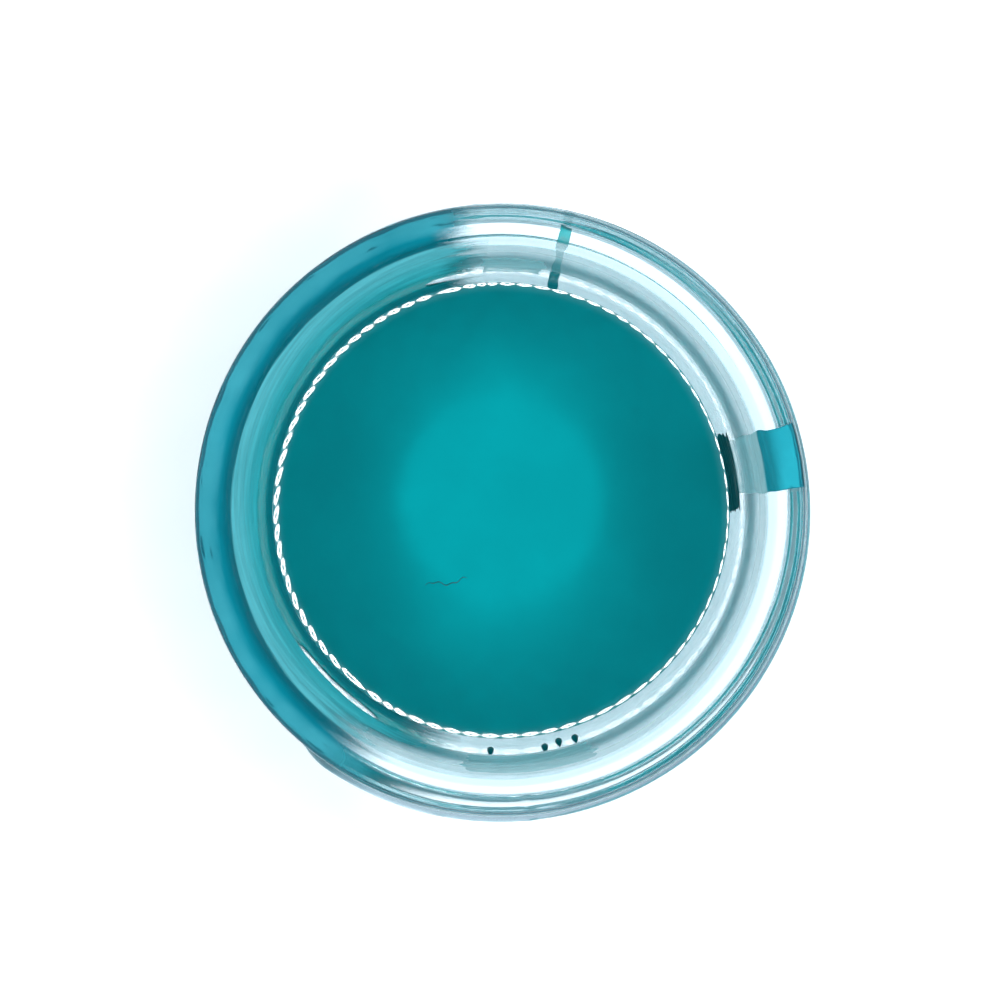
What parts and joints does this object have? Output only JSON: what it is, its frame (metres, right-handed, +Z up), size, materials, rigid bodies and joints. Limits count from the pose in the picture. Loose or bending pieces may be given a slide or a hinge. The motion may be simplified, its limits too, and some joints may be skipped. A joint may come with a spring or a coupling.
{
  "type": "paint jar",
  "caption": "Open round glass jar with a screw neck, part filled with opaque teal paint, with dried paint on its inner wall.",
  "frame": {"origin": "centre of the ring that the jar stands on", "axes": "+Z up along the jar's axis, towards its mouth; the wide film of dried paint is on the -X side"},
  "size_m": [0.0631, 0.063, 0.068],
  "materials": {
    "clear_glass": "clear, smooth, moulded",
    "wet_paint": "wet, opaque, glossy liquid paint",
    "dry_paint": "thin dried paint, satin"
  },
  "bodies": {
    "root": {"glass_jar": "clear_glass", "paint_fill": "wet_paint", "wall_film": "dry_paint", "side_swipe": "dry_paint", "low_swipe": "dry_paint", "long_run": "dry_paint", "back_stain": "dry_paint", "front_stain": "dry_paint", "front_drop_1": "dry_paint", "front_drop_2": "dry_paint", "front_drop_3": "dry_paint", "front_drop_4": "dry_paint"}
  },
  "joints": []
}
